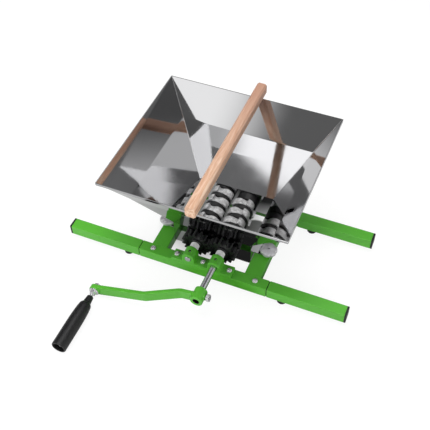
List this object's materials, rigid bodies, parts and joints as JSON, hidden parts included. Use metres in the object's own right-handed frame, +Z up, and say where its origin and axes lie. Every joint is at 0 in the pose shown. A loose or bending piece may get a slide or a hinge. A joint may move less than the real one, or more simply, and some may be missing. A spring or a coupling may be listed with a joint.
{
  "type": "apple scratter",
  "caption": "Hand-cranked apple scratter: tube frame on rubber feet, folded sheet hopper, geared rollers of hooked wheels, S-shaped crank and a wooden pusher bar.",
  "frame": {"origin": "on the floor at the centre of the four rubber feet", "axes": "+X along the rails to the viewer's right, -Y towards the crank, +Z up"},
  "size_m": [0.65, 0.6097, 0.2973],
  "materials": {
    "powder_green": "bright green powder coat",
    "sheet_steel": "mirror-polished stainless sheet",
    "zinc_steel": "zinc-plated, satin",
    "polished_shaft": "bright ground steel",
    "cast_aluminium": "rough sand-cast",
    "black_plastic": "black moulded",
    "black_iron": "blackened, oiled",
    "white_nylon": "white nylon",
    "black_rubber": "black rubber",
    "beech": "planed pale beech"
  },
  "bodies": {
    "frame": {"front_rail": "powder_green", "rear_rail": "powder_green", "left_cross_member": "powder_green", "right_cross_member": "powder_green", "front_left_leg": "powder_green", "front_right_leg": "powder_green", "rear_left_leg": "powder_green", "rear_right_leg": "powder_green", "leg_joiners": "zinc_steel", "leg_end_caps": "black_plastic", "rubber_feet": "black_rubber", "foot_screws": "zinc_steel", "leg_bolts": "zinc_steel", "hopper": "sheet_steel", "knob_nuts": "zinc_steel", "front_bearing_block": "powder_green", "rear_bearing_block": "powder_green", "front_bushes": "white_nylon", "rear_bushes": "white_nylon", "block_bolts": "zinc_steel"},
    "drive_roller": {"drive_shaft": "polished_shaft", "drive_key": "zinc_steel", "drive_gear": "black_iron", "drive_cutters": "cast_aluminium", "drive_spacers": "black_plastic", "drive_retaining_ring": "black_iron", "crank_arm": "powder_green", "handle_bolt": "zinc_steel", "handle_nuts": "zinc_steel", "handle_washer": "zinc_steel"},
    "driven_roller": {"driven_shaft": "polished_shaft", "driven_key": "zinc_steel", "driven_gear": "black_iron", "driven_cutters": "cast_aluminium", "driven_spacers": "black_plastic", "driven_retaining_ring": "black_iron"},
    "grip": {"handle_grip": "black_plastic"},
    "thumb_screw": {"crank_thumb_screw": "zinc_steel"},
    "pusher": {"pusher_bar": "beech"},
    "front_left_knob_body": {"front_left_knob": "zinc_steel"},
    "front_right_knob_body": {"front_right_knob": "zinc_steel"},
    "rear_left_knob_body": {"rear_left_knob": "zinc_steel"},
    "rear_right_knob_body": {"rear_right_knob": "zinc_steel"}
  },
  "joints": [
    {"name": "crank_turn", "type": "hinge", "parent": "frame", "child": "drive_roller", "pos_m": [0.03, 0, 0.057], "axis": [0, 1, 0], "continuous": true},
    {"name": "driven_turn", "type": "hinge", "parent": "frame", "child": "driven_roller", "pos_m": [-0.03, 0, 0.057], "axis": [0, 1, 0], "continuous": true},
    {"name": "grip_spin", "type": "hinge", "parent": "drive_roller", "child": "grip", "pos_m": [-0.19635, -0.33, 0.0162], "axis": [0, 1, 0], "continuous": true},
    {"name": "thumb_screw_turn", "type": "hinge", "parent": "drive_roller", "child": "thumb_screw", "pos_m": [0.03, -0.1965, 0.057], "axis": [0.9841, 0, 0.1774], "continuous": true},
    {"name": "pusher_lift", "type": "slide", "parent": "frame", "child": "pusher", "axis": [0, 0, 1], "range_m": [0, 0.35]},
    {"name": "front_left_knob_turn", "type": "hinge", "parent": "frame", "child": "front_left_knob_body", "pos_m": [-0.121, -0.0225, 0.05], "axis": [0, 0, 1], "continuous": true},
    {"name": "front_right_knob_turn", "type": "hinge", "parent": "frame", "child": "front_right_knob_body", "pos_m": [0.121, -0.0225, 0.05], "axis": [0, 0, 1], "continuous": true},
    {"name": "rear_left_knob_turn", "type": "hinge", "parent": "frame", "child": "rear_left_knob_body", "pos_m": [-0.121, 0.0595, 0.05], "axis": [0, 0, 1], "continuous": true},
    {"name": "rear_right_knob_turn", "type": "hinge", "parent": "frame", "child": "rear_right_knob_body", "pos_m": [0.121, 0.0595, 0.05], "axis": [0, 0, 1], "continuous": true}
  ],
  "couplings": [
    {"joint": "driven_turn", "follows": "crank_turn", "ratio": -1}
  ]
}
